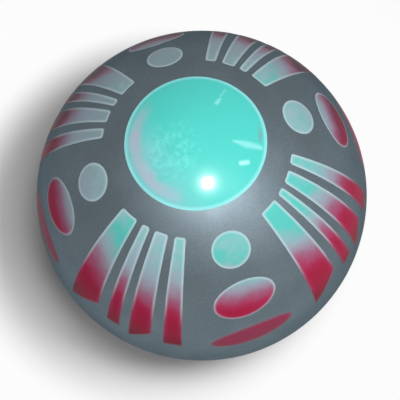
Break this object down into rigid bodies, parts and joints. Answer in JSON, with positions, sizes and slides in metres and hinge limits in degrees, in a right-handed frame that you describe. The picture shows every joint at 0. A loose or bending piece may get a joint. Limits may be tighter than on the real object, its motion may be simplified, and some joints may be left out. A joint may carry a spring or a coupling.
{
  "type": "toy ball",
  "caption": "Hollow rubber toy ball of two cemented half shells, grey enamelled, with a teal pole cap and airbrushed dots, ovals and fans of stripes fading from teal to red.",
  "frame": {"origin": "centre of the ball", "axes": "+Z towards the upper pole of the painted pattern, +X towards the first column of dots"},
  "size_m": [0.149, 0.149, 0.15],
  "materials": {
    "grey_enamelled_rubber": "satin grey enamel on moulded rubber",
    "rubber_cement": "matte black rubber cement",
    "gum_rubber": "matte soft gum rubber",
    "teal_lacquer": "glossy teal lacquer over a white undercoat",
    "red_lacquer": "red lacquer shaded to white at its edge",
    "red_mist": "thin red airbrush mist on the grey enamel",
    "shaded_stripe_lacquer": "airbrushed lacquer that runs from teal through white to red"
  },
  "bodies": {
    "root": {"upper_half_shell": "grey_enamelled_rubber", "lower_half_shell": "grey_enamelled_rubber", "seam_cement": "rubber_cement", "valve_plug": "gum_rubber", "valve_pocket": "rubber_cement", "upper_pole_cap": "teal_lacquer", "upper_dot_1": "teal_lacquer", "upper_dot_2": "teal_lacquer", "upper_dot_3": "teal_lacquer", "upper_dot_4": "teal_lacquer", "upper_oval_1": "red_lacquer", "upper_oval_2": "red_lacquer", "upper_oval_3": "red_lacquer", "upper_oval_4": "red_lacquer", "upper_mist_oval_1": "red_mist", "upper_mist_oval_2": "red_mist", "upper_mist_oval_3": "red_mist", "upper_mist_oval_4": "red_mist", "upper_fan_1_wide_stripe": "shaded_stripe_lacquer", "upper_fan_1_thin_stripe": "shaded_stripe_lacquer", "upper_fan_1_middle_stripe": "shaded_stripe_lacquer", "upper_fan_1_end_stripe": "shaded_stripe_lacquer", "upper_fan_2_wide_stripe": "shaded_stripe_lacquer", "upper_fan_2_thin_stripe": "shaded_stripe_lacquer", "upper_fan_2_middle_stripe": "shaded_stripe_lacquer", "upper_fan_2_end_stripe": "shaded_stripe_lacquer", "upper_fan_3_wide_stripe": "shaded_stripe_lacquer", "upper_fan_3_thin_stripe": "shaded_stripe_lacquer", "upper_fan_3_middle_stripe": "shaded_stripe_lacquer", "upper_fan_3_end_stripe": "shaded_stripe_lacquer", "upper_fan_4_wide_stripe": "shaded_stripe_lacquer", "upper_fan_4_thin_stripe": "shaded_stripe_lacquer", "upper_fan_4_middle_stripe": "shaded_stripe_lacquer", "upper_fan_4_end_stripe": "shaded_stripe_lacquer", "lower_pole_cap": "teal_lacquer", "lower_dot_1": "teal_lacquer", "lower_dot_2": "teal_lacquer", "lower_dot_3": "teal_lacquer", "lower_dot_4": "teal_lacquer", "lower_oval_1": "red_lacquer", "lower_oval_2": "red_lacquer", "lower_oval_3": "red_lacquer", "lower_oval_4": "red_lacquer", "lower_fan_1_wide_stripe": "shaded_stripe_lacquer", "lower_fan_1_thin_stripe": "shaded_stripe_lacquer", "lower_fan_1_middle_stripe": "shaded_stripe_lacquer", "lower_fan_1_end_stripe": "shaded_stripe_lacquer", "lower_fan_2_wide_stripe": "shaded_stripe_lacquer", "lower_fan_2_thin_stripe": "shaded_stripe_lacquer", "lower_fan_2_middle_stripe": "shaded_stripe_lacquer", "lower_fan_2_end_stripe": "shaded_stripe_lacquer", "lower_fan_3_wide_stripe": "shaded_stripe_lacquer", "lower_fan_3_thin_stripe": "shaded_stripe_lacquer", "lower_fan_3_middle_stripe": "shaded_stripe_lacquer", "lower_fan_3_end_stripe": "shaded_stripe_lacquer", "lower_fan_4_wide_stripe": "shaded_stripe_lacquer", "lower_fan_4_thin_stripe": "shaded_stripe_lacquer", "lower_fan_4_middle_stripe": "shaded_stripe_lacquer", "lower_fan_4_end_stripe": "shaded_stripe_lacquer"}
  },
  "joints": []
}
